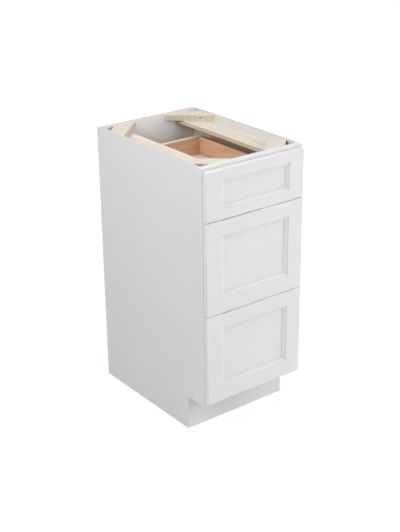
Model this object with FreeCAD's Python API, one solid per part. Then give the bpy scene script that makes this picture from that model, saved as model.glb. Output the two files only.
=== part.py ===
import FreeCAD, Part
import math
import os

# Three-drawer vanity base cabinet: plywood case, hardwood face frame, five-piece drawer
# fronts and dovetailed drawer boxes on concealed full-extension runners.
# Millimetres. X is to the right, Y to the back, Z up. The origin is on the floor, in the
# middle of the whole cabinet's width and depth.

# Case
cabinet_width = 381.0
cabinet_depth = 533.4
cabinet_height = 876.3
side_thickness = 12.7
back_thickness = 6.35
groove_depth = 6.35
groove_play = 0.3
hanging_rail_thickness = 12.7
hanging_rail_height = 88.9
deck_thickness = 12.7
deck_drop = 12.7
toe_setback = 76.2
toe_height = 114.3
toe_board_thickness = 12.7
toe_board_recess = 0.5

# Face frame
frame_thickness = 19.05
frame_stile_width = 38.1
frame_top_rail_height = 38.1
frame_mid_rail_height = 25.4
frame_bottom_rail_height = 38.1
frame_edge_radius = 1.2
frame_tenon_length = 9.5
frame_tenon_thickness = 6.35
frame_tenon_shoulder = 4.0
tenon_play = 0.3
side_tongue_thickness = 5.0
side_tongue_depth = 6.0
side_tongue_stop = 20.0

# Top corner blocks and stretchers
block_width = 120.65
block_depth = 108.0
block_tip = 38.0
block_thickness = 19.05
block_drop = 1.0
block_screw_setback = 34.3
block_counterbore_radius = 3.7
block_counterbore_depth = 7.0
stretcher_width = 76.2
stretcher_thickness = 12.7

# Drawer fronts
front_thickness = 16.6
front_gap = 2.2
front_side_reveal = 6.35
front_top_reveal = 9.5
front_bottom_reveal = 6.35
front_play = 0.3
top_front_height = 152.4
front_edge_radius = 2.5
front_stile_width = 67.5
top_front_lower_rail = 42.0
top_front_upper_rail = 42.0
deep_front_lower_rail = 64.0
deep_front_upper_rail = 56.5
stile_ledge_width = 12.0
rail_ledge_width = 9.0
first_step = 2.2
ledge_fall = 2.3
second_step = 2.0
panel_tongue_thickness = 5.0
panel_groove_depth = 9.5
panel_play = 0.5
panel_back_recess = 0.5
front_tenon_length = 10.0
front_tenon_shoulder = 6.0

# Drawer boxes
box_side_clearance = 5.1
box_wall = 15.9
top_box_headroom = 28.9
deep_box_headroom = 44.6
box_rear_gap = 27.0
bottom_recess = 12.7
bottom_thickness = 6.35
bottom_groove_depth = 6.35
bottom_play = 0.2
dovetail_pitch = 25.4
dovetail_root_width = 11.2
dovetail_angle = 8.0
dovetail_lap = 5.4

# Runners
runner_width = 26.0
runner_height = 17.5
runner_side_gap = 1.0
runner_gauge = 1.2
runner_lip = 3.0
runner_flange = 7.0
runner_play = 0.3
runner_rear_stop = 3.0
tab_half_width = 9.0
tab_clearance = 0.7
hook_half_width = 6.0
hook_height = 15.0
hook_pin_radius = 2.5
hook_pin_length = 8.0
hook_pin_height = 10.5
hook_hole_play = 0.5
notch_width = 32.0
bracket_reach = 45.0
bracket_grip = 12.0
bracket_wall = 3.0
bracket_floor = 5.0
bracket_flange_thickness = 4.0
bracket_flange_reach = 14.0
clip_height = 10.0
clip_lip = 4.7
clip_body_width = 20.0
clip_body_length = 40.0

# Screws, with the shares of the head that its cross recess takes
screw_hole_play = 0.1
screw_skin = 0.85
screw_tip_ratio = 2.0
recess_width = 0.8
recess_reach_share = 0.55
recess_depth_share = 0.6
runner_screw_radius = 1.6
runner_screw_head_radius = 3.2
runner_screw_head_height = 1.9
block_screw_radius = 1.8
block_screw_head_radius = 3.3
block_screw_head_height = 2.2
front_screw_radius = 2.0
front_screw_head_radius = 4.0
front_screw_head_height = 2.6
front_screw_bite = 5.5
front_screw_inset = 40.0
deep_screw_edge = 33.8

# Worked out across the cabinet
overall_depth = cabinet_depth + front_play + front_thickness
half_width = cabinet_width / 2
inner_half = half_width - side_thickness
opening_half = half_width - frame_stile_width
front_half = half_width - front_side_reveal
box_half = opening_half - box_side_clearance
box_inner_half = box_half - box_wall
runner_half = runner_width / 2
runner_x = box_inner_half - runner_side_gap - runner_half

# Worked out from front to back
y_front = -overall_depth / 2
y_front_back = y_front + front_thickness
y_frame = y_front_back + front_play
y_frame_back = y_frame + frame_thickness
y_back = overall_depth / 2
y_panel_rear = y_back - hanging_rail_thickness
y_panel = y_panel_rear - back_thickness
y_toe = y_frame + toe_setback
y_box_inner = y_front_back + box_wall
y_runner_rear = y_panel - bracket_reach
y_box_rear = y_runner_rear - box_rear_gap
y_member_front = y_box_inner + clip_lip + runner_play
y_middle_rear = y_runner_rear - bracket_grip - runner_rear_stop

# Worked out from floor to top
z_front_top = cabinet_height - front_top_reveal
z_front_bottom = toe_height + front_bottom_reveal
z_upper_gap = z_front_top - top_front_height - front_gap / 2
deep_front_height = (z_upper_gap - front_gap / 2 - z_front_bottom - front_gap) / 2
z_lower_gap = z_front_bottom + deep_front_height + front_gap / 2
z_bottom_opening = toe_height + frame_bottom_rail_height
z_middle_opening = z_lower_gap + frame_mid_rail_height / 2
z_top_opening = z_upper_gap + frame_mid_rail_height / 2
z_deck = z_bottom_opening - deck_drop
z_deck_under = z_deck - deck_thickness
z_block = cabinet_height - block_drop
z_stretcher = z_block - block_thickness
runner_stand = runner_height - bottom_recess
top_box_height = (cabinet_height - frame_top_rail_height - z_top_opening
                  - runner_stand - top_box_headroom)
deep_box_height = (z_lower_gap - frame_mid_rail_height / 2 - z_bottom_opening
                   - runner_stand - deep_box_headroom)

stile_face = front_stile_width - stile_ledge_width
ledge_depth = first_step + ledge_fall
panel_depth = ledge_depth + second_step
tab_drop = deck_drop - tab_clearance
runner_screw_length = bracket_flange_thickness + back_thickness - screw_skin

plane_tolerance = 1e-6
X_AXIS = FreeCAD.Vector(1, 0, 0)
Y_AXIS = FreeCAD.Vector(0, 1, 0)
Z_AXIS = FreeCAD.Vector(0, 0, 1)


def point(x, y, z):
    return FreeCAD.Vector(x, y, z)


def block(x0, x1, y0, y1, z0, z1):
    """Box between two corners."""
    return Part.makeBox(x1 - x0, y1 - y0, z1 - z0, point(x0, y0, z0))


def prism(outline, sweep):
    """Solid made by sweeping a closed outline of points."""
    wire = Part.makePolygon(outline + outline[:1])
    return Part.Face(wire).extrude(sweep)


def section_prism(outline, x, z, y0, y1):
    """Solid along Y of an outline in X and Z, drawn about a base point."""
    return prism([point(x + u, y0, z + w) for u, w in outline], Y_AXIS * (y1 - y0))


def mirrored(shape):
    """The same piece on the other side of the cabinet."""
    return shape.mirror(point(0, 0, 0), X_AXIS)


def joined(shape, *others):
    return shape.fuse(list(others)).removeSplitter()


def edges_on(shape, *tests):
    """Edges whose two ends pass every test."""
    return [e for e in shape.Edges if all(t(v.Point) for t in tests for v in e.Vertexes)]


def at(axis, value):
    """Test for a point that lies on the plane axis = value."""
    return lambda p: abs(getattr(p, axis) - value) < plane_tolerance


def drill(start, direction, radius, depth):
    return Part.makeCylinder(radius, depth, start, direction)


def screw(seat, direction, radius, length, head_radius, head_height):
    """Pan-head screw whose head sits on the seat and whose point goes along direction."""
    dome_radius = (head_radius ** 2 + head_height ** 2) / (2 * head_height)
    half_angle = math.asin(head_radius / dome_radius) / 2
    shoulder = point(dome_radius * math.sin(half_angle), 0,
                     dome_radius * (1 - math.cos(half_angle)) - head_height)
    crown = point(0, 0, -head_height)
    dome = Part.Arc(point(head_radius, 0, 0), shoulder, crown).toShape()
    tip_length = min(screw_tip_ratio * radius, length / 2)
    corners = [crown, point(0, 0, length), point(radius, 0, length - tip_length),
               point(radius, 0, 0), point(head_radius, 0, 0)]
    lines = [Part.makeLine(a, b) for a, b in zip(corners, corners[1:])]
    body = Part.Face(Part.Wire(Part.__sortEdges__(lines + [dome]))).revolve(point(0, 0, 0), Z_AXIS, 360)
    arm = head_radius * recess_reach_share
    depth = head_height * recess_depth_share
    slot = recess_width / 2
    recess = block(-arm, arm, -slot, slot, -head_height, depth - head_height).fuse(
        block(-slot, slot, -arm, arm, -head_height, depth - head_height))
    body = body.cut(recess)
    body.Placement = FreeCAD.Placement(seat, FreeCAD.Rotation(Z_AXIS, direction))
    return body


def side_panel():
    """Right side of the case, with its toe notch, grooves and front tongue."""
    panel = block(inner_half, half_width, y_frame_back, y_back, 0, cabinet_height)
    tongue_x = half_width - (side_thickness + side_tongue_thickness) / 2
    tongue = block(tongue_x, tongue_x + side_tongue_thickness,
                   y_frame_back - side_tongue_depth, y_frame_back,
                   toe_height + side_tongue_stop, cabinet_height - side_tongue_stop)
    notch = block(inner_half, half_width, y_frame_back, y_toe, 0, toe_height)
    back_groove = block(inner_half, inner_half + groove_depth, y_panel, y_panel_rear,
                        z_deck_under, cabinet_height)
    deck_groove = block(inner_half, inner_half + groove_depth, y_frame_back, y_panel,
                        z_deck_under, z_deck)
    pilots = [drill(point(inner_half, y, block_screw_z()), X_AXIS,
                    block_screw_radius + screw_hole_play, side_thickness - screw_skin)
              for y in block_screw_rows()]
    return joined(panel, tongue).cut([notch, back_groove, deck_groove] + pilots)


def block_screw_rows():
    """Where the corner-block screws lie from front to back."""
    reach = block_depth * (1 - block_screw_setback / block_width)
    return (y_frame_back + reach, y_panel - reach)


def block_screw_z():
    return z_block - block_thickness / 2


def case_pieces():
    grooved_half = inner_half + groove_depth - groove_play
    right_side = side_panel()
    back = block(-grooved_half, grooved_half, y_panel, y_panel_rear, z_deck_under, cabinet_height)
    holes = []
    for x, z in runner_places():
        for hole_x in bracket_screw_places(x):
            holes.append(drill(point(hole_x, y_panel, z + bracket_screw_rise()), Y_AXIS,
                               runner_screw_radius + screw_hole_play,
                               runner_screw_length - bracket_flange_thickness + screw_hole_play))
    rails = [block(-inner_half, inner_half, y_panel_rear, y_back, z, z + hanging_rail_height)
             for z in (z_deck_under, cabinet_height - hanging_rail_height)]
    deck = block(-grooved_half, grooved_half, y_frame_back, y_panel, z_deck_under, z_deck)
    toe_front = y_toe + toe_board_recess
    toe = block(-inner_half, inner_half, toe_front, toe_front + toe_board_thickness, 0, z_deck_under)
    return {"left_side_panel": [mirrored(right_side)], "right_side_panel": [right_side],
            "back_panel": [back.cut(holes)], "hanging_rails": rails,
            "bottom_panel": [deck], "toe_kick_board": [toe]}


def corner_block(y_wall, inward):
    """Right-hand block against a wall at y_wall; inward is 1 or -1 along Y."""
    corners = [(block_tip, 0), (block_width, 0), (0, block_depth), (0, block_tip)]
    outline = [point(inner_half - u, y_wall + inward * v, z_stretcher) for u, v in corners]
    return prism(outline, Z_AXIS * block_thickness)


def top_pieces():
    blocks = []
    screws = []
    seat_x = inner_half - block_screw_setback + block_counterbore_depth
    length = half_width - screw_skin - screw_hole_play - seat_x
    walls = zip(block_screw_rows(), ((y_frame_back, 1), (y_panel, -1)))
    for y, (y_wall, inward) in walls:
        seat = point(seat_x, y, block_screw_z())
        counterbore = drill(seat, -X_AXIS, block_counterbore_radius, block_width)
        shank = drill(seat, X_AXIS, block_screw_radius + screw_hole_play, block_width)
        blocks.append(corner_block(y_wall, inward).cut([counterbore, shank]))
        screws.append(screw(seat, X_AXIS, block_screw_radius, length,
                            block_screw_head_radius, block_screw_head_height))
    stretcher = block(inner_half - stretcher_width, inner_half, y_frame_back, y_panel,
                      z_stretcher - stretcher_thickness, z_stretcher)
    return {"corner_blocks": blocks + [mirrored(b) for b in blocks],
            "corner_block_screws": screws + [mirrored(s) for s in screws],
            "left_top_stretcher": [mirrored(stretcher)], "right_top_stretcher": [stretcher]}


def frame_tenon(height, z, reach):
    """Tenon on the right end of a frame rail, or the room that its mortise needs."""
    y = y_frame + (frame_thickness - frame_tenon_thickness) / 2
    return block(opening_half, opening_half + reach, y, y + frame_tenon_thickness,
                 z + frame_tenon_shoulder, z + height - frame_tenon_shoulder)


def face_frame_pieces():
    half_mid = frame_mid_rail_height / 2
    levels = {"top": (frame_top_rail_height, cabinet_height - frame_top_rail_height),
              "upper": (frame_mid_rail_height, z_upper_gap - half_mid),
              "lower": (frame_mid_rail_height, z_lower_gap - half_mid),
              "bottom": (frame_bottom_rail_height, toe_height)}
    stile = block(opening_half, half_width, y_frame, y_frame_back, toe_height, cabinet_height)
    eased = (edges_on(stile, at("y", y_frame), at("x", half_width))
             + edges_on(stile, at("y", y_frame), at("z", cabinet_height)))
    stile = stile.makeFillet(frame_edge_radius, eased)
    tongue_x = half_width - (side_thickness + side_tongue_thickness) / 2
    tongue_groove = block(tongue_x, tongue_x + side_tongue_thickness,
                          y_frame_back - side_tongue_depth - tenon_play, y_frame_back,
                          toe_height + side_tongue_stop, cabinet_height - side_tongue_stop)
    mortises = [frame_tenon(h, z, frame_tenon_length + tenon_play) for h, z in levels.values()]
    stile = stile.cut([tongue_groove] + mortises)
    rails = {}
    for level, (height, z) in levels.items():
        rail = block(-opening_half, opening_half, y_frame, y_frame_back, z, z + height)
        if level == "top":
            edge = edges_on(rail, at("y", y_frame), at("z", cabinet_height))
            rail = rail.makeFillet(frame_edge_radius, edge)
        tenon = frame_tenon(height, z, frame_tenon_length)
        rail = joined(rail, tenon, mirrored(tenon))
        if level != "top":
            opening_z = z + height
            pilots = [drill(point(x, y_frame_back, opening_z - tab_drop / 2), -Y_AXIS,
                            runner_screw_radius + screw_hole_play,
                            runner_screw_length - runner_gauge + screw_hole_play)
                      for x in (-runner_x, runner_x)]
            rail = rail.cut(pilots)
        rails[level] = rail
    return {"frame_left_stile": [mirrored(stile)], "frame_right_stile": [stile],
            "frame_top_rail": [rails["top"]],
            "frame_mid_rails": [rails["upper"], rails["lower"]],
            "frame_bottom_rail": [rails["bottom"]]}


def runner_places():
    """Middle of each runner in X, and the top of the frame rail that it stands behind."""
    levels = (z_top_opening, z_middle_opening, z_bottom_opening)
    return [(side * runner_x, z) for z in levels for side in (1, -1)]


def bracket_screw_places(x):
    reach = runner_half + bracket_wall + bracket_flange_reach / 2
    return (x - reach, x + reach)


def bracket_screw_rise():
    """Height of the bracket screws above the opening's lower edge."""
    return (runner_flange - bracket_floor) / 2


def channel_outline(sign):
    """Rolled channel with inward lips: open at the top for sign 1, underneath for -1."""
    lip_x = runner_half - runner_gauge - runner_lip
    wall_x = runner_half - runner_gauge
    lip_z = runner_flange - runner_gauge
    right = [(runner_half, 0), (runner_half, runner_flange), (lip_x, runner_flange),
             (lip_x, lip_z), (wall_x, lip_z), (wall_x, runner_gauge)]
    outline = right + [(-u, w) for u, w in reversed(right)]
    return [(u, sign * w) for u, w in outline]


def middle_outline(wall):
    """Section of the middle member, which fills both channels with running clearance.

    The outline is set in by the wall, so that a wall of 0 gives the outside.
    """
    wide = runner_half - runner_gauge - runner_play - wall
    narrow = wide - runner_lip
    low = runner_gauge + runner_play + wall
    low_top = runner_flange - runner_gauge - runner_play - wall
    right = [(wide, low), (wide, low_top), (narrow, low_top), (narrow, runner_height - low_top),
             (wide, runner_height - low_top), (wide, runner_height - low)]
    return right + [(-u, w) for u, w in reversed(right)]


def middle_member(z_open):
    """Rolled tube that runs between the fixed channel and the drawer's channel."""
    ends = (runner_x, z_open, y_member_front, y_middle_rear)
    return section_prism(middle_outline(0), *ends).cut(
        section_prism(middle_outline(runner_gauge), *ends))


def cabinet_member(x, z):
    """Fixed channel of a runner, with a tab that is screwed to the back of the frame rail."""
    channel = section_prism(channel_outline(1), x, z, y_frame_back, y_runner_rear)
    tab = block(x - tab_half_width, x + tab_half_width, y_frame_back, y_frame_back + runner_gauge,
                z - tab_drop, z + runner_gauge)
    hole = drill(point(x, y_frame_back, z - tab_drop / 2), Y_AXIS,
                 runner_screw_radius + screw_hole_play, runner_gauge)
    return joined(channel, tab).cut(hole)


def rear_bracket(x, z):
    """Moulded socket that carries a runner's rear end from the back panel."""
    outer = runner_half + bracket_wall
    wide = outer + bracket_flange_reach
    socket = block(x - outer, x + outer, y_runner_rear - bracket_grip, y_panel,
                   z - bracket_floor, z + runner_flange)
    flange = block(x - wide, x + wide, y_panel - bracket_flange_thickness, y_panel,
                   z - bracket_floor, z + runner_flange)
    room = block(x - runner_half, x + runner_half, y_runner_rear - bracket_grip, y_runner_rear,
                 z, z + runner_flange)
    hollow = block(x - runner_half, x + runner_half, y_runner_rear + bracket_wall,
                   y_panel - bracket_flange_thickness, z, z + runner_flange)
    holes = [drill(point(hole_x, y_panel - bracket_flange_thickness, z + bracket_screw_rise()), Y_AXIS,
                   runner_screw_radius + screw_hole_play, bracket_flange_thickness)
             for hole_x in bracket_screw_places(x)]
    return joined(socket, flange).cut([room, hollow] + holes)


def runner_screws(x, z):
    sizes = (runner_screw_radius, runner_screw_length, runner_screw_head_radius,
             runner_screw_head_height)
    tab_seat = point(x, y_frame_back + runner_gauge, z - tab_drop / 2)
    seats = [point(hole_x, y_panel - bracket_flange_thickness, z + bracket_screw_rise())
             for hole_x in bracket_screw_places(x)]
    return [screw(tab_seat, -Y_AXIS, *sizes)] + [screw(seat, Y_AXIS, *sizes) for seat in seats]


def runner_pieces():
    places = runner_places()
    screws = [s for x, z in places for s in runner_screws(x, z)]
    return {"runner_cabinet_members": [cabinet_member(x, z) for x, z in places],
            "runner_rear_brackets": [rear_bracket(x, z) for x, z in places],
            "runner_screws": screws}


def rectangle(half, y, low, high):
    """Closed outline in a plane of constant Y."""
    corners = [point(-half, y, low), point(half, y, low), point(half, y, high), point(-half, y, high)]
    return Part.makePolygon(corners + corners[:1])


def drawer_front(z0, height, lower_rail, upper_rail):
    """Five pieces of a drawer front: stiles, rails and a floating panel."""
    z1 = z0 + height
    low_open = z0 + lower_rail
    high_open = z1 - upper_rail
    low_face = low_open - rail_ledge_width
    high_face = high_open + rail_ledge_width
    whole = block(-front_half, front_half, y_front, y_front_back, z0, z1)
    whole = whole.makeFillet(front_edge_radius, edges_on(whole, at("y", y_front)))
    open_half = front_half - front_stile_width
    face_half = front_half - stile_face
    groove_half = open_half + panel_groove_depth
    y_panel_face = y_front + panel_depth
    y_tongue = y_panel_face + panel_tongue_thickness
    through = block(-open_half, open_half, y_front, y_front_back, low_open, high_open)
    step = block(-face_half, face_half, y_front, y_front + first_step, low_face, high_face)
    slope = Part.makeLoft([rectangle(face_half, y_front + first_step, low_face, high_face),
                           rectangle(open_half, y_front + ledge_depth, low_open, high_open)],
                          True, True)
    groove = block(-groove_half, groove_half, y_panel_face, y_tongue,
                   low_open - panel_groove_depth, high_open + panel_groove_depth)
    frame = whole.cut([through, step, slope, groove])

    # Each stile runs full height and meets the rails at a butt, then a mitre across the ledge
    outline = [(front_half, z0), (face_half, z0), (face_half, low_face), (open_half, low_open),
               (open_half, high_open), (face_half, high_face), (face_half, z1), (front_half, z1)]
    keep = prism([point(x, y_front, z) for x, z in outline], Y_AXIS * front_thickness)
    stile = frame.common(keep)
    rails = sorted(frame.cut([keep, mirrored(keep)]).Solids, key=lambda s: s.CenterOfMass.z)
    for index, (base, top) in enumerate(((z0, low_face), (high_face, z1))):
        low = base + front_tenon_shoulder
        high = top - front_tenon_shoulder
        tenon = block(face_half, face_half + front_tenon_length, y_panel_face, y_tongue, low, high)
        mortise = block(face_half, face_half + front_tenon_length + tenon_play,
                        y_panel_face, y_tongue, low, high)
        rails[index] = joined(rails[index], tenon, mirrored(tenon))
        stile = stile.cut(mortise)

    tongue_half = groove_half - panel_play
    tongue_reach = panel_groove_depth - panel_play
    back_half = open_half - panel_play
    panel = joined(block(-tongue_half, tongue_half, y_panel_face, y_tongue,
                         low_open - tongue_reach, high_open + tongue_reach),
                   block(-back_half, back_half, y_tongue, y_front_back - panel_back_recess,
                         low_open + panel_play, high_open - panel_play))
    return {"front_left_stile": [mirrored(stile)], "front_right_stile": [stile],
            "front_lower_rail": [rails[0]], "front_upper_rail": [rails[1]],
            "front_panel": [panel]}


def dovetails(z0, height, y_root, y_tip):
    """Tails of the right drawer side at one end, from the shoulder line to their tips."""
    count = int(height // dovetail_pitch)
    margin = (height - count * dovetail_pitch) / 2
    flare = abs(y_tip - y_root) * math.tan(math.radians(dovetail_angle))
    root = dovetail_root_width / 2
    tails = []
    for index in range(count):
        z = z0 + margin + (index + 0.5) * dovetail_pitch
        outline = [(y_root, z - root), (y_tip, z - root - flare),
                   (y_tip, z + root + flare), (y_root, z + root)]
        tails.append(prism([point(box_inner_half, y, h) for y, h in outline], X_AXIS * box_wall))
    return tails


def drawer_box(z_open, height):
    """Five pieces of a drawer box that stands on runners behind the opening's lower edge."""
    z_under = z_open + runner_height
    z0 = z_under - bottom_recess
    z1 = z0 + height
    y_rear_inner = y_box_rear - box_wall
    front_tails = dovetails(z0, height, y_box_inner, y_front_back + dovetail_lap)
    rear_tails = dovetails(z0, height, y_rear_inner, y_box_rear - dovetail_lap)
    tails = front_tails + rear_tails
    reach = bottom_groove_depth
    groove = block(-box_inner_half - reach, box_inner_half + reach,
                   y_box_inner - reach, y_rear_inner + reach,
                   z_under, z_under + bottom_thickness + bottom_play)
    side = block(box_inner_half, box_half, y_box_inner, y_rear_inner, z0, z1)
    side = joined(side, *tails).cut(groove)
    sockets = tails + [mirrored(t) for t in tails]
    front = block(-box_half, box_half, y_front_back, y_box_inner, z0, z1).cut(sockets + [groove])
    back = block(-box_half, box_half, y_rear_inner, y_box_rear, z0, z1)
    notch = block(box_inner_half - notch_width, box_inner_half, y_rear_inner, y_box_rear, z0, z_under)
    hook_hole = drill(point(runner_x, y_box_rear, z_under + hook_pin_height), -Y_AXIS,
                      hook_pin_radius + hook_hole_play, hook_pin_length + hook_hole_play)
    back = back.cut(sockets + [groove, notch, mirrored(notch), hook_hole, mirrored(hook_hole)])
    reach = bottom_groove_depth - bottom_play
    bottom = block(-box_inner_half - reach, box_inner_half + reach,
                   y_box_inner - reach, y_rear_inner + reach, z_under, z_under + bottom_thickness)
    return {"box_left_side": [mirrored(side)], "box_right_side": [side],
            "box_front": [front], "box_back": [back], "box_bottom": [bottom]}


def drawer_member(z_open):
    """Channel under the drawer bottom, with a hook that pins it to the drawer's back."""
    z_under = z_open + runner_height
    channel = section_prism(channel_outline(-1), runner_x, z_under, y_member_front, y_box_rear)
    hook = block(runner_x - hook_half_width, runner_x + hook_half_width,
                 y_box_rear, y_box_rear + runner_gauge,
                 z_under - runner_gauge, z_under + hook_height)
    pin = drill(point(runner_x, y_box_rear, z_under + hook_pin_height), -Y_AXIS,
                hook_pin_radius, hook_pin_length)
    return joined(channel, hook, pin)


def clip(z_open):
    """Locking clip in the corner behind the drawer box's front, beside the runner."""
    z_under = z_open + runner_height
    inner_x = runner_x - runner_half - runner_play
    outline = [(inner_x - clip_body_width, y_box_inner), (runner_x + runner_half, y_box_inner),
               (runner_x + runner_half, y_box_inner + clip_lip), (inner_x, y_box_inner + clip_lip),
               (inner_x, y_box_inner + clip_body_length),
               (inner_x - clip_body_width / 2, y_box_inner + clip_body_length),
               (inner_x - clip_body_width, y_box_inner + clip_body_length / 2)]
    return prism([point(x, y, z_under - clip_height) for x, y in outline], Z_AXIS * clip_height)


def both(shape):
    return [mirrored(shape), shape]


def drawer_pieces(name, z_front, front_height, rails, z_open, box_height, screw_rows):
    pieces = drawer_front(z_front, front_height, *rails)
    pieces.update(drawer_box(z_open, box_height))
    pieces["runner_drawer_members"] = both(drawer_member(z_open))
    pieces["runner_clips"] = both(clip(z_open))
    pieces["runner_middle_members"] = both(middle_member(z_open))

    # Screws from inside the box, through its front and into the drawer front's panel
    screw_x = box_inner_half - front_screw_inset
    length = box_wall + panel_back_recess + front_screw_bite
    z_middle = z_front + front_height / 2
    seats = [point(x, y_box_inner, z_middle + row) for row in screw_rows for x in (-screw_x, screw_x)]
    holes = [drill(seat, -Y_AXIS, front_screw_radius + screw_hole_play, length + screw_hole_play)
             for seat in seats]
    for holed in ("box_front", "front_panel"):
        pieces[holed] = [pieces[holed][0].cut(holes)]
    pieces["front_screws"] = [screw(seat, -Y_AXIS, front_screw_radius, length,
                                    front_screw_head_radius, front_screw_head_height)
                              for seat in seats]
    return {name + "_" + piece: solids for piece, solids in pieces.items()}


def all_pieces():
    pieces = case_pieces()
    pieces.update(top_pieces())
    pieces.update(face_frame_pieces())
    pieces.update(runner_pieces())
    top_rails = (top_front_lower_rail, top_front_upper_rail)
    deep_rails = (deep_front_lower_rail, deep_front_upper_rail)
    half_spacing = deep_front_height / 2 - max(deep_rails) - deep_screw_edge
    deep_rows = [-half_spacing, half_spacing]
    pieces.update(drawer_pieces("top", z_upper_gap + front_gap / 2, top_front_height, top_rails,
                                z_top_opening, top_box_height, [0]))
    pieces.update(drawer_pieces("middle", z_lower_gap + front_gap / 2, deep_front_height, deep_rails,
                                z_middle_opening, deep_box_height, deep_rows))
    pieces.update(drawer_pieces("bottom", z_front_bottom, deep_front_height, deep_rails,
                                z_bottom_opening, deep_box_height, deep_rows))
    return pieces


os.makedirs("parts", exist_ok=True)
for node, solids in all_pieces().items():
    shape = solids[0] if len(solids) == 1 else Part.makeCompound(solids)
    shape.exportStep("parts/" + node + ".step")
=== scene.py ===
import math

import bmesh
import bpy
from mathutils import Matrix, Vector


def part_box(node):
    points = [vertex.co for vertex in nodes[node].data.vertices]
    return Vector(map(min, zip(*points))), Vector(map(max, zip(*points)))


# Looks of a three-drawer vanity base cabinet: painted fronts and case, bare plywood and pine
# inside the open top, lacquered drawer boxes, zinc runners and grey plastic clips.
# Metres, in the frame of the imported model: X to the right, Y to the back, Z up.

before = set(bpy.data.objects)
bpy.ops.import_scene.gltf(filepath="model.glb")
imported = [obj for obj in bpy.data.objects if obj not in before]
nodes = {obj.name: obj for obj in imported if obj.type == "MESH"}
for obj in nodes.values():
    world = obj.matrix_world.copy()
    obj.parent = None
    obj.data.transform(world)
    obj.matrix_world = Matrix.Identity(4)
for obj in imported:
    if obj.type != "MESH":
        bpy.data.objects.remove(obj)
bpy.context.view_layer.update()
drawers = ("top", "middle", "bottom")

X, Y, Z = 0, 1, 2
mm = 0.001

# Camera, for an image of 400 by 532 pixels
image_height = 532
focal_pixels = 1112.74
sensor_size = 36.0
camera_place = Vector((-1.9789, -2.6038, 1.8617))
camera_aim = Vector((-0.1182, -0.1555, 0.5280))
camera_roll = math.radians(-0.6426)

# Lamps: place, width in metres and watts
lamp_aim = (0.0, 0.0, 0.45)
lamps = {"front": ((0.0, -2.9, 1.9), 1.6, 29.8),
         "low": ((0.3, -2.7, 0.3), 0.5, 6.0),
         "right": ((2.7, -1.3, 1.55), 1.6, 50.0),
         "left": ((-2.0, -0.3, 2.3), 1.2, 41.5),
         "back": ((0.35, 1.9, 2.75), 1.8, 11.0),
         "overhead": ((0.2, 0.2, 3.0), 2.4, 12.5),
         "rear": ((0.2, 3.0, 0.8), 0.6, 14.0)}

# Background and floor, whose glow rises over a stretch of distances from the object
plain_white = (1.0, 1.0, 1.0)
ambient_strength = 0.1
white_strength = 1.0
floor_reach = 20.0
floor_bounce = 0.7
floor_shadow = 0.16
floor_glow = (0.88, 1.0)
floor_glow_reach = (0.6, 2.2)

# Paint and wood colours, pale and dark
paint_white = (0.80, 0.80, 0.80)
# Inner face of the back panel: a paler white, painted light that brightens the inside back wall
back_white_painted_light = (0.87, 0.87, 0.87)
paint_shade = 0.985
birch = ((0.85, 0.80, 0.72), (0.69, 0.605, 0.50))
birch_edge = ((0.75, 0.65, 0.51), (0.61, 0.47, 0.32))
case_edge = ((0.755, 0.725, 0.685), (0.61, 0.555, 0.49))
back_veneer = ((0.86, 0.73, 0.57), (0.73, 0.58, 0.42))
pine = ((0.81, 0.75, 0.66), (0.655, 0.557, 0.43))
pine_cut = ((0.655, 0.57, 0.445), (0.56, 0.455, 0.34))
box_birch = ((0.75, 0.50, 0.34), (0.60, 0.355, 0.21))
# Top edges of the drawer boxes' fronts and backs: lighter colours as a painted highlight
rim_painted_highlight = ((0.91, 0.77, 0.68), (0.80, 0.68, 0.60))
drawer_bottom = ((0.86, 0.78, 0.68), (0.74, 0.63, 0.52))
end_grain_shares = (0.92, 0.80)
glue_share = 0.72

# Zinc and plastic colours, with the share left in their darker streaks
sheet_zinc = (0.62, 0.63, 0.65)
screw_zinc = (0.58, 0.57, 0.52)
zinc_streak_share = 0.86
grey_plastic = (0.17, 0.175, 0.185)
plastic_cloud_share = 0.92

# Painted shade in corners: reach, open shares of the view where the painted shade is full and none,
# colour shares left
front_painted_shade = (12 * mm, 0.3, 1.0, (0.70, 0.70, 0.70))
rail_painted_shade = (12 * mm, 0.3, 1.0, (0.66, 0.66, 0.66))
# Side walls: warm, deep painted shade below the stretchers and faint painted shade above them
low_wall_painted_shade = (70 * mm, 0.15, 0.5, (0.49, 0.335, 0.265))
high_wall_painted_shade = (70 * mm, 0.3, 1.0, (0.90, 0.88, 0.84))
ply_painted_shade = (22 * mm, 0.15, 0.5, (0.30, 0.30, 0.30))
pine_painted_shade = (40 * mm, 0.20, 0.5, (0.28, 0.24, 0.20))
pine_painted_shade_depth = 40 * mm
# Drawer boxes: painted shade on the top edges of lengthwise boards and in the boards' corners
rim_painted_shade = (60 * mm, 0.30, 0.75, (0.60, 0.50, 0.45))
box_painted_shade = (35 * mm, 0.40, 0.90, (0.84, 0.72, 0.64))
painted_shade_samples = 8

# Noise detail, ranges of values, and how nearly a face has to be square to an axis
plain_detail = 2.0
fine_detail = 3.0
whole_range = (0.0, 1.0)
noise_range = (0.30, 0.70)
fibre_range = (0.35, 0.70)
square_range = (0.90, 0.99)
facing_limit = 0.7

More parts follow.
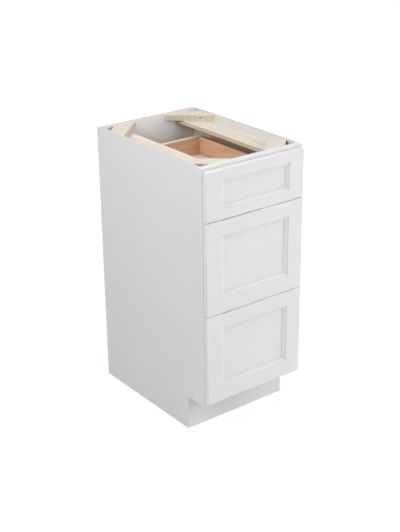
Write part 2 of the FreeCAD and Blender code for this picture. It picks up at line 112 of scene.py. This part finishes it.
# Textures: features in a metre, along and across the grain where it has one, and bump heights
paint_clouds = 7.0
paint_sheen_clouds = 60.0
paint_stipple = 800.0
paint_stipple_height = 0.02 * mm
paint_fibres = (9.0, 420.0)
paint_fibre_height = 0.03 * mm
wood_rings = (1.6, 14.0)
wood_ring_bend = 0.4
wood_ring_range = (-0.9, 1.0)
wood_fibres = (14.0, 750.0)
wood_fibre_height = 0.04 * mm
wood_pores = 420.0
ring_count = 9.0
veneer_ring_count = 6.0
pine_ring_count = 12.0
wood_shares = (0.55, 0.45)
pine_shares = (0.35, 0.35)
ply_speckle = 350.0
ply_shares = (0.7, 0.3)
ply_seam_range = (0.4, 0.5)
ply_seam_strength = 0.6
saw_marks = (300.0, 300.0, 12.0)
saw_mark_height = 0.12 * mm
zinc_streaks = (20.0, 900.0)
zinc_streak_height = 0.01 * mm
zinc_clouds = 90.0
plastic_clouds = 40.0
plastic_grain = 1500.0
plastic_grain_height = 0.03 * mm

# Roughness
paint_roughness = (0.36, 0.46)
case_paint_roughness = 0.41
bare_edge_roughness = 0.60
veneer_roughness = (0.45, 0.58)
lacquer_roughness = (0.40, 0.53)
bottom_roughness = (0.35, 0.48)
pine_roughness = 0.68
sheet_zinc_roughness = (0.28, 0.42)
screw_zinc_roughness = (0.24, 0.38)
plastic_roughness = 0.5

# Eased edges
weld_distance = 0.005 * mm
bevel_angle = math.radians(32)
bevel_segments = 2
paint_edge = 0.4 * mm
case_sheet_edge = 0.3 * mm
bare_sheet_edge = 0.4 * mm
housed_sheet_edge = 0.2 * mm
pine_edge = 0.6 * mm
box_edge = 0.5 * mm
zinc_edge = 0.2 * mm
plastic_edge = 0.4 * mm
screw_edge = 0.1 * mm

# Plies across each sheet
side_plies = 9
back_plies = 5
stretcher_plies = 7
rail_plies = 9
floor_plies = 9
bottom_plies = 5


def shaded(colour, share):
    """Colour with only a share of its brightness."""
    return tuple(c * share for c in colour)


def feed(tree, socket, value):
    """Links a socket to another one, or sets its value."""
    if isinstance(value, bpy.types.NodeSocket):
        tree.links.new(value, socket)
    elif socket.type == "RGBA":
        socket.default_value = (*value, 1.0)
    else:
        socket.default_value = value


def add_node(tree, kind, inputs, **settings):
    """New shader node of a kind, with its settings and inputs."""
    made = tree.nodes.new("ShaderNode" + kind)
    for name, value in settings.items():
        setattr(made, name, value)
    for key, value in inputs.items():
        feed(tree, made.inputs[key], value)
    return made


class Finish:
    """A material in the making, with short calls for its nodes."""

    def __init__(self, name):
        self.material = bpy.data.materials.new(name)
        self.material.use_nodes = True
        self.tree = self.material.node_tree
        self.shader = self.tree.nodes["Principled BSDF"]
        source = self.node("TexCoord", {})
        self.place = source.outputs["Object"]
        self.normal = source.outputs["Normal"]

    def node(self, kind, inputs, **settings):
        """New node of a kind in this material."""
        return add_node(self.tree, kind, inputs, **settings)

    def math(self, operation, *values):
        """Result of an operation on one or two values."""
        return self.node("Math", dict(enumerate(values)), operation=operation).outputs[0]

    def mix(self, factor, first, second):
        """Colour that goes from the first to the second as factor goes from 0 to 1."""
        return self.node("Mix", {0: factor, 6: first, 7: second}, data_type="RGBA").outputs[2]

    def blend(self, first, second, shares):
        """Sum of two values, each times its share."""
        return self.math("ADD", self.math("MULTIPLY", first, shares[0]),
                         self.math("MULTIPLY", second, shares[1]))

    def along(self, vector, axis):
        """One coordinate of a vector."""
        return self.node("SeparateXYZ", {0: vector}).outputs[axis]

    def level(self, value, span, to=whole_range):
        """Value carried from one range to another and held inside it."""
        inputs = {0: value, 1: span[0], 2: span[1], 3: to[0], 4: to[1]}
        return self.node("MapRange", inputs).outputs[0]

    def noise(self, scales, detail=plain_detail, distortion=0.0):
        """Noise with that many features in a metre along each axis."""
        stretched = self.node("VectorMath", {0: self.place, 1: scales}, operation="MULTIPLY")
        inputs = {"Vector": stretched.outputs[0], "Scale": 1.0, "Detail": detail,
                  "Distortion": distortion}
        return self.node("TexNoise", inputs).outputs[0]

    def clouds(self, scale, to=whole_range):
        """Soft noise that is alike along all axes."""
        return self.level(self.noise([scale] * 3, fine_detail), noise_range, to)

    def streaks(self, axis, scales, detail=fine_detail, distortion=0.0):
        """Noise drawn out along one axis, as wood fibres are."""
        spread = [scales[1]] * 3
        spread[axis] = scales[0]
        return self.noise(spread, detail, distortion)

    def facing(self, axis):
        """1 where the surface faces either way along an axis."""
        part = self.math("ABSOLUTE", self.along(self.normal, axis))
        return self.math("GREATER_THAN", part, facing_limit)

    def painted_shade(self, colour, reach, closed, opened, shares, axis=None, heights=None):
        """Colour with painted shade in corners, on faces square to an axis or between heights where
        given.
        """
        corner = self.node("AmbientOcclusion", {"Distance": reach}, samples=painted_shade_samples)
        darker = self.level(corner.outputs["AO"], (closed, opened), (1.0, 0.0))
        if axis is not None:
            square = self.math("ABSOLUTE", self.along(self.normal, axis))
            darker = self.math("MULTIPLY", darker, self.level(square, square_range))
        if heights is not None:
            height = self.along(self.place, Z)
            above = self.math("GREATER_THAN", height, heights[0])
            below = self.math("LESS_THAN", height, heights[1])
            darker = self.math("MULTIPLY", darker, self.math("MULTIPLY", above, below))
        deep = self.node("VectorMath", {0: colour, 1: shares}, operation="MULTIPLY").outputs[0]
        return self.mix(darker, colour, deep)

    def bump(self, height, depth, under=None):
        """Normal of a relief of some depth, on top of another normal where one is given."""
        inputs = {"Height": height, "Distance": depth}
        if under is not None:
            inputs["Normal"] = under
        return self.node("Bump", inputs).outputs[0]

    def finish(self, colour, roughness, normal, metallic=0.0):
        """The material, with its shader fed."""
        inputs = {"Base Color": colour, "Roughness": roughness, "Normal": normal, "Metallic": metallic}
        for name, value in inputs.items():
            feed(self.tree, self.shader.inputs[name], value)
        return self.material


def painted(finish, grain, white=paint_white):
    """Colour, roughness and normal of satin paint over wood whose grain runs along an axis."""
    colour = finish.mix(finish.clouds(paint_clouds), shaded(white, paint_shade), white)
    roughness = finish.clouds(paint_sheen_clouds, paint_roughness)
    fibres = finish.bump(finish.streaks(grain, paint_fibres), paint_fibre_height)
    normal = finish.bump(finish.noise([paint_stipple] * 3), paint_stipple_height, fibres)
    return colour, roughness, normal


def grained(finish, grain, colours, rings, shares=wood_shares):
    """Colour and height of bare wood whose grain runs along an axis."""
    swirl = finish.streaks(grain, wood_rings, plain_detail, wood_ring_bend)
    ring = finish.math("SINE", finish.math("MULTIPLY", swirl, rings * math.tau))
    ring = finish.level(ring, wood_ring_range)
    fibre = finish.level(finish.streaks(grain, wood_fibres), fibre_range)
    return finish.mix(finish.blend(ring, fibre, shares), *colours), fibre


def layered(finish, axis, span, plies, colours):
    """Colour of a plywood edge with its plies stacked along an axis."""
    depth = finish.level(finish.along(finish.place, axis), span, (0.0, plies))
    odd = finish.math("MODULO", finish.math("FLOOR", depth), 2.0)
    centre = finish.math("SUBTRACT", finish.math("FRACT", depth), 0.5)
    seam = finish.level(finish.math("ABSOLUTE", centre), ply_seam_range, (0.0, ply_seam_strength))
    speckle = finish.level(finish.noise([ply_speckle] * 3, fine_detail), fibre_range)
    banded = finish.mix(finish.blend(odd, speckle, ply_shares), *colours)
    return finish.mix(seam, banded, shaded(colours[1], glue_share))


def extent(node, axis):
    """Where a node starts and ends along an axis."""
    low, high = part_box(node)
    return low[axis], high[axis]


def paint(name, grain, corner_shade=None, heights=None):
    """Satin paint, with painted shade in corners where a corner shade is given."""
    finish = Finish(name)
    colour, roughness, normal = painted(finish, grain)
    if corner_shade is not None:
        colour = finish.painted_shade(colour, *corner_shade, Y, heights)
    return finish.finish(colour, roughness, normal)


def case_sheet(name, axis, plies, white=paint_white):
    """Plywood sheet painted on its faces and front edges, and bare on its other edges; side panels get
    painted shade in their corners.
    """
    finish = Finish(name)
    colour, _, normal = painted(finish, Z, white)
    edge = layered(finish, axis, extent(name, axis), plies, case_edge)
    facing_y = finish.along(finish.normal, Y)
    covered = finish.math("MAXIMUM", finish.facing(axis),
                          finish.math("LESS_THAN", facing_y, -facing_limit))
    if axis == Y:
        rear = finish.math("GREATER_THAN", facing_y, facing_limit)
        covered = finish.math("SUBTRACT", covered, rear)
        veneer, _ = grained(finish, Z, back_veneer, veneer_ring_count)
        edge = finish.mix(rear, edge, veneer)
    colour = finish.mix(covered, edge, colour)
    roughness = finish.level(covered, whole_range, (bare_edge_roughness, case_paint_roughness))
    # Side panels: painted shade in corners, warm and deep below the stretchers and faint above them
    if axis == X:
        floor, top = extent(name, Z)
        stretcher_under = extent("right_top_stretcher", Z)[0]
        colour = finish.painted_shade(colour, *low_wall_painted_shade, X, (floor, stretcher_under))
        colour = finish.painted_shade(colour, *high_wall_painted_shade, X, (stretcher_under, top))
    return finish.finish(colour, roughness, normal)


def bare_sheet(name, axis, grain, plies, colours, edges=birch_edge, roughness=veneer_roughness):
    """Clear-coated plywood: veneer on its faces and plies on its edges, with painted shade in corners.
    """
    finish = Finish(name)
    veneer, fibre = grained(finish, grain, colours, veneer_ring_count)
    edge = layered(finish, axis, extent(name, axis), plies, edges)
    colour = finish.painted_shade(finish.mix(finish.facing(axis), edge, veneer), *ply_painted_shade)
    return finish.finish(colour, finish.level(fibre, whole_range, roughness),
                         finish.bump(fibre, wood_fibre_height))


def box_board(name, grain, rim_highlight=None):
    """Lacquered board with darker end grain and painted shade in its corners, and a top edge either
    with a painted highlight in lighter colours or with painted shade where it lies under cover.
    """
    finish = Finish(name)
    colour, fibre = grained(finish, grain, box_birch, ring_count)
    ends = [shaded(tone, share) for tone, share in zip(box_birch, end_grain_shares)]
    colour = finish.mix(finish.facing(grain), colour, finish.mix(finish.clouds(wood_pores), *ends))
    # Painted shade in the box's corners
    for axis in (X, Y):
        colour = finish.painted_shade(colour, *box_painted_shade, axis)
    # Painted highlight on the top edge where given, and painted shade on it otherwise
    if rim_highlight is not None:
        upward = finish.math("GREATER_THAN", finish.along(finish.normal, Z), facing_limit)
        pale, _ = grained(finish, grain, rim_highlight, ring_count)
        colour = finish.mix(upward, colour, pale)
    else:
        colour = finish.painted_shade(colour, *rim_painted_shade, Z)
    return finish.finish(colour, finish.level(fibre, whole_range, lacquer_roughness),
                         finish.bump(fibre, wood_fibre_height))


def sawn_pine(name):
    """Sawn pine with growth rings on top, upright saw marks on its cut faces, and painted shade near
    its tips at the front and back.
    """
    finish = Finish(name)
    colour, fibre = grained(finish, X, pine, pine_ring_count, pine_shares)
    marks = finish.level(finish.noise(saw_marks), fibre_range)
    colour = finish.mix(finish.facing(Z), finish.mix(marks, *pine_cut), colour)
    # Painted shade on the blocks near the front and back, where their tips sit in deep corners
    front, back = extent("corner_blocks", Y)
    depth = finish.along(finish.place, Y)
    tip_shade_mask = finish.math("MAXIMUM", finish.math("LESS_THAN", depth, front + pine_painted_shade_depth),
                          finish.math("GREATER_THAN", depth, back - pine_painted_shade_depth))
    colour = finish.mix(tip_shade_mask, colour, finish.painted_shade(colour, *pine_painted_shade))
    height = finish.math("ADD", fibre, marks)
    return finish.finish(colour, pine_roughness, finish.bump(height, saw_mark_height))


def zinc(name, tint, roughness):
    """Zinc-plated steel with faint rolling streaks."""
    finish = Finish(name)
    streak = finish.level(finish.streaks(Y, zinc_streaks), noise_range)
    colour = finish.mix(streak, tint, shaded(tint, zinc_streak_share))
    return finish.finish(colour, finish.clouds(zinc_clouds, roughness),
                         finish.bump(streak, zinc_streak_height), metallic=1.0)


def moulded(name, tint):
    """Moulded plastic with a fine grain."""
    finish = Finish(name)
    colour = finish.mix(finish.clouds(plastic_clouds), tint, shaded(tint, plastic_cloud_share))
    grain = finish.noise([plastic_grain] * 3)
    return finish.finish(colour, plastic_roughness, finish.bump(grain, plastic_grain_height))


def dress(name, material, edge):
    """Gives a node its material and eased edges."""
    node = nodes[name]
    for slot in node.material_slots:
        slot.material = material
    weld = node.modifiers.new("weld", "WELD")
    weld.merge_threshold = weld_distance
    bevel = node.modifiers.new("eased edges", "BEVEL")
    bevel.width = edge
    bevel.segments = bevel_segments
    bevel.limit_method = "ANGLE"
    bevel.angle_limit = bevel_angle
    bevel.harden_normals = True


def dress_case():
    """Sides, back, floor, stretchers, hanging rails and corner blocks."""
    for side in ("left", "right"):
        name = side + "_side_panel"
        dress(name, case_sheet(name, X, side_plies), case_sheet_edge)
        name = side + "_top_stretcher"
        dress(name, bare_sheet(name, Z, Y, stretcher_plies, birch), bare_sheet_edge)
    name = "back_panel"
    # The back panel's inner face gets the paler white of painted light
    dress(name, case_sheet(name, Y, back_plies, back_white_painted_light), housed_sheet_edge)
    name = "hanging_rails"
    dress(name, bare_sheet(name, Y, X, rail_plies, back_veneer, case_edge), bare_sheet_edge)
    name = "bottom_panel"
    dress(name, bare_sheet(name, Z, Y, floor_plies, birch), housed_sheet_edge)
    dress("corner_blocks", sawn_pine("sawn_pine"), pine_edge)


def dress_painted():
    """Face frame, toe-kick board and drawer fronts."""
    fronts_top = extent("top_front_upper_rail", Z)[1]
    frame_top = extent("frame_top_rail", Z)[1]
    # Painted shade in the corners of the top rail, of the stiles beside the strip above the fronts, and
    # of the fronts' recesses
    stile = paint("paint_frame_stile", Z, rail_painted_shade, (fronts_top, frame_top))
    top_rail = paint("paint_top_rail", X, rail_painted_shade)
    rail = paint("paint_frame_rail", X)
    upright = paint("paint_front_upright", Z, front_painted_shade)
    level = paint("paint_front_level", X, front_painted_shade)
    pieces = {"frame_left_stile": stile, "frame_right_stile": stile, "frame_top_rail": top_rail,
              "frame_mid_rails": rail, "frame_bottom_rail": rail, "toe_kick_board": rail}
    for drawer in drawers:
        for piece, material in (("left_stile", upright), ("right_stile", upright),
                                ("lower_rail", level), ("upper_rail", level), ("panel", upright)):
            pieces[drawer + "_front_" + piece] = material
    for name, material in pieces.items():
        dress(name, material, paint_edge)


def dress_boxes():
    """Drawer boxes with their bottoms."""
    lengthwise = box_board("box_birch_lengthwise", Y)
    crosswise = box_board("box_birch_crosswise", X, rim_painted_highlight)
    for drawer in drawers:
        for piece, material in (("left_side", lengthwise), ("right_side", lengthwise),
                                ("front", crosswise), ("back", crosswise)):
            dress(drawer + "_box_" + piece, material, box_edge)
        name = drawer + "_box_bottom"
        sheet = bare_sheet(name, Z, Y, bottom_plies, drawer_bottom, roughness=bottom_roughness)
        dress(name, sheet, housed_sheet_edge)


def dress_hardware():
    """Runners, brackets, clips and screws."""
    steel = zinc("zinc_sheet", sheet_zinc, sheet_zinc_roughness)
    screws = zinc("zinc_screw", screw_zinc, screw_zinc_roughness)
    moulding = moulded("grey_moulding", grey_plastic)
    dress("runner_cabinet_members", steel, zinc_edge)
    dress("runner_rear_brackets", moulding, plastic_edge)
    dress("corner_block_screws", screws, screw_edge)
    dress("runner_screws", screws, screw_edge)
    for drawer in drawers:
        dress(drawer + "_runner_drawer_members", steel, zinc_edge)
        dress(drawer + "_runner_middle_members", steel, zinc_edge)
        dress(drawer + "_runner_clips", moulding, plastic_edge)
        dress(drawer + "_front_screws", screws, screw_edge)


def make_camera():
    """Camera that looks from its place to its aim, turned by its roll."""
    data = bpy.data.cameras.new("camera")
    data.sensor_width = sensor_size
    data.lens = focal_pixels * sensor_size / image_height
    camera = bpy.data.objects.new("camera", data)
    up = Vector((0, 0, 1))
    forward = (camera_aim - camera_place).normalized()
    level = forward.cross(up).normalized()
    right = level * math.cos(camera_roll) + level.cross(forward) * math.sin(camera_roll)
    turn = Matrix((right, right.cross(forward), -forward)).transposed()
    camera.matrix_world = Matrix.Translation(camera_place) @ turn.to_4x4()
    bpy.context.scene.collection.objects.link(camera)
    bpy.context.scene.camera = camera


def seen_directly(tree):
    """1 for rays that show the background itself: from the camera, or off metal and glass."""
    rays = add_node(tree, "LightPath", {}).outputs
    seen = rays["Is Camera Ray"]
    for name in ("Is Glossy Ray", "Is Transmission Ray"):
        seen = add_node(tree, "Math", {0: seen, 1: rays[name]}, operation="MAXIMUM").outputs[0]
    return seen


def split_rays(tree, output, lighting, shown):
    """One shader for the rays that light the object, and another for those that show the background."""
    inputs = {0: seen_directly(tree), 1: lighting.outputs[0], 2: shown.outputs[0]}
    choice = add_node(tree, "MixShader", inputs)
    feed(tree, tree.nodes[output].inputs["Surface"], choice.outputs[0])


def make_world():
    """Faint light from all round, with a white background."""
    world = bpy.data.worlds.new("studio")
    world.use_nodes = True
    tree = world.node_tree
    tree.nodes.remove(tree.nodes["Background"])
    ambient = add_node(tree, "Background", {"Color": plain_white, "Strength": ambient_strength})
    white = add_node(tree, "Background", {"Color": plain_white, "Strength": white_strength})
    split_rays(tree, "World Output", ambient, white)
    bpy.context.scene.world = world


def make_floor():
    """Floor that bounces light, and shows white with the object's soft shadow round its foot."""
    mesh = bpy.data.meshes.new("floor")
    shape = bmesh.new()
    bmesh.ops.create_grid(shape, x_segments=1, y_segments=1, size=floor_reach)
    shape.to_mesh(mesh)
    shape.free()
    floor = bpy.data.objects.new("floor", mesh)
    bpy.context.scene.collection.objects.link(floor)
    material = bpy.data.materials.new("floor")
    material.use_nodes = True
    tree = material.node_tree
    tree.nodes.remove(tree.nodes["Principled BSDF"])
    bounce = add_node(tree, "BsdfDiffuse", {"Color": shaded(plain_white, floor_bounce)})
    shadow = add_node(tree, "BsdfDiffuse", {"Color": shaded(plain_white, floor_shadow)})
    place = add_node(tree, "TexCoord", {}).outputs["Object"]
    distance = add_node(tree, "VectorMath", {0: place}, operation="LENGTH").outputs["Value"]
    rise = dict(enumerate((distance, *floor_glow_reach, *floor_glow)))
    strength = add_node(tree, "MapRange", rise).outputs[0]
    glow = add_node(tree, "Emission", {"Color": plain_white, "Strength": strength})
    shown = add_node(tree, "AddShader", {0: shadow.outputs[0], 1: glow.outputs[0]})
    split_rays(tree, "Material Output", bounce, shown)
    mesh.materials.append(material)


def make_lamp(name, place, width, watts):
    """Square soft lamp turned to the object."""
    data = bpy.data.lights.new(name, "AREA")
    data.shape = "SQUARE"
    data.size = width
    data.energy = watts
    lamp = bpy.data.objects.new(name, data)
    turn = (Vector(lamp_aim) - Vector(place)).to_track_quat("-Z", "Y")
    lamp.matrix_world = Matrix.Translation(place) @ turn.to_matrix().to_4x4()
    bpy.context.scene.collection.objects.link(lamp)


dress_case()
dress_painted()
dress_boxes()
dress_hardware()
make_world()
make_floor()
for lamp_name, settings in lamps.items():
    make_lamp(lamp_name, *settings)
make_camera()
bpy.context.scene.view_settings.view_transform = "Standard"
